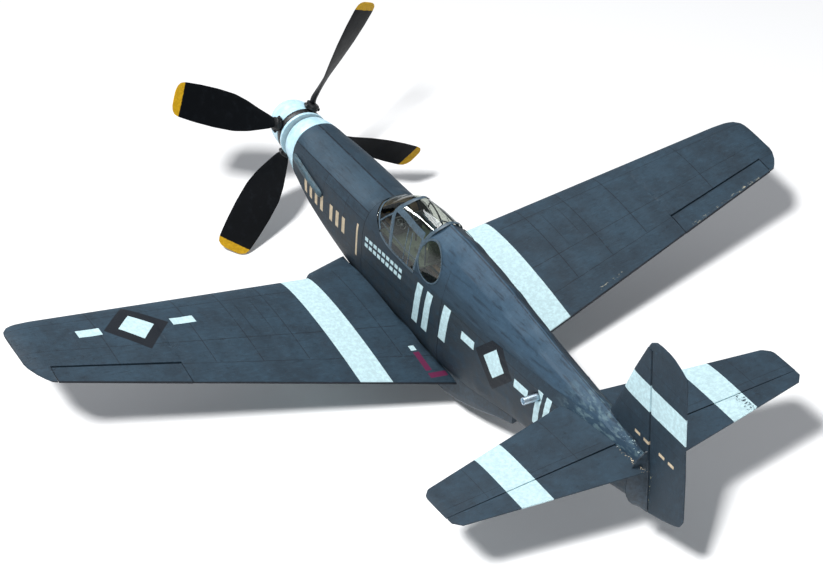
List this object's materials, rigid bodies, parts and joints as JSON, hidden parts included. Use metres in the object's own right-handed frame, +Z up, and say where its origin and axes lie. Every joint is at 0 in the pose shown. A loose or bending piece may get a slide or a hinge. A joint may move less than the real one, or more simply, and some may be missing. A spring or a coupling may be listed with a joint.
{
  "type": "rubber powered model aircraft",
  "caption": "Rubber-powered flying scale model of a low-wing fighter with a big four-blade propeller, bubble canopy, ventral duct and hinged trim surfaces.",
  "frame": {"origin": "middle of the flat underside of the radiator duct, the lowest part of the body", "axes": "+X towards the aeroplane's left wing tip, +Y towards the tail, +Z up, with the fuselage datum level"},
  "size_m": [0.7036, 0.6099, 0.2318],
  "materials": {
    "slate_tissue": "satin doped tissue over wood framing, slate blue-grey",
    "slate_wood": "painted balsa, slate blue-grey, satin",
    "deck_tissue": "satin doped tissue, lighter blue",
    "exhaust_paint": "painted balsa, teal grey",
    "pale_wood": "painted wood, pale blue-white",
    "pale_plastic": "painted plastic, pale blue-white",
    "clear_sheet": "thin clear plastic sheet",
    "black_plastic": "near black, ochre yellow tips",
    "hub_black": "near black",
    "balsa": "bare balsa",
    "plywood": "bare birch plywood",
    "cockpit_green": "matt painted wood",
    "panel_black": "matt black card",
    "headrest_brown": "brown padded block",
    "steel": "bright steel",
    "brass": "plain brass tube",
    "aluminium": "plain aluminium tube",
    "rubber_strip": "tan rubber strip"
  },
  "bodies": {
    "airframe": {"cockpit_skin": "slate_tissue", "tail_skin": "slate_tissue", "wing_left": "slate_tissue", "wing_right": "slate_tissue", "stabilizer_left": "slate_tissue", "stabilizer_right": "slate_tissue", "fin": "slate_tissue", "nose_cowl": "slate_wood", "radiator_duct": "slate_wood", "chin_intake": "slate_wood", "sternpost": "slate_wood", "rear_deck": "deck_tissue", "exhaust_left": "exhaust_paint", "exhaust_right": "exhaust_paint", "canopy": "clear_sheet", "quarter_window_left": "clear_sheet", "quarter_window_right": "clear_sheet", "windscreen_former": "balsa", "cabin_former": "balsa", "mid_former": "balsa", "peg_former": "balsa", "tail_former": "balsa", "nose_former": "plywood", "peg_plate_left": "plywood", "peg_plate_right": "plywood", "wing_joiner": "plywood", "cockpit_floor": "cockpit_green", "pilot_seat": "cockpit_green", "instrument_panel": "panel_black", "control_stick": "panel_black", "headrest": "headrest_brown", "rubber_motor": "rubber_strip"},
    "nose_plug": {"nose_block": "pale_wood", "thrust_bush": "brass", "rear_washer": "steel"},
    "propeller": {"spinner": "pale_plastic", "spinner_backplate": "pale_plastic", "prop_hub": "hub_black", "blade_1": "black_plastic", "blade_2": "black_plastic", "blade_3": "black_plastic", "blade_4": "black_plastic", "prop_shaft": "steel", "front_washer": "steel"},
    "motor_peg": {"rear_peg": "aluminium"},
    "left_aileron": {"aileron_left": "slate_tissue"},
    "right_aileron": {"aileron_right": "slate_tissue"},
    "elevators": {"elevator_left": "slate_tissue", "elevator_right": "slate_tissue", "elevator_joiner": "steel"},
    "rudder_body": {"rudder": "slate_tissue"}
  },
  "joints": [
    {"name": "nose_plug_pull", "type": "slide", "parent": "airframe", "child": "nose_plug", "axis": [0, -1, 0], "range_m": [0, 0.03], "deforming": ["rubber_motor"]},
    {"name": "propeller_spin", "type": "hinge", "parent": "nose_plug", "child": "propeller", "pos_m": [0, -0.24527, 0.0889], "axis": [-0.0872, -0.9962, 0], "continuous": true},
    {"name": "peg_pull", "type": "slide", "parent": "airframe", "child": "motor_peg", "axis": [1, 0, 0], "range_m": [0, 0.035]},
    {"name": "aileron_left_trim", "type": "hinge", "parent": "airframe", "child": "left_aileron", "pos_m": [0.23178, -0.01966, 0.06965], "axis": [0.9692, -0.1589, 0.1882], "range_deg": [-15, 15]},
    {"name": "aileron_right_trim", "type": "hinge", "parent": "airframe", "child": "right_aileron", "pos_m": [-0.23178, -0.01966, 0.06965], "axis": [0.9692, 0.1589, -0.1882], "range_deg": [-15, 15]},
    {"name": "elevator_trim", "type": "hinge", "parent": "airframe", "child": "elevators", "pos_m": [0, 0.24447, 0.09777], "axis": [0.9959, 0, -0.0906], "range_deg": [-20, 20]},
    {"name": "rudder_trim", "type": "hinge", "parent": "airframe", "child": "rudder_body", "pos_m": [0, 0.27842, 0.08334], "axis": [0, -0.1367, 0.9906], "range_deg": [-20, 20]}
  ]
}
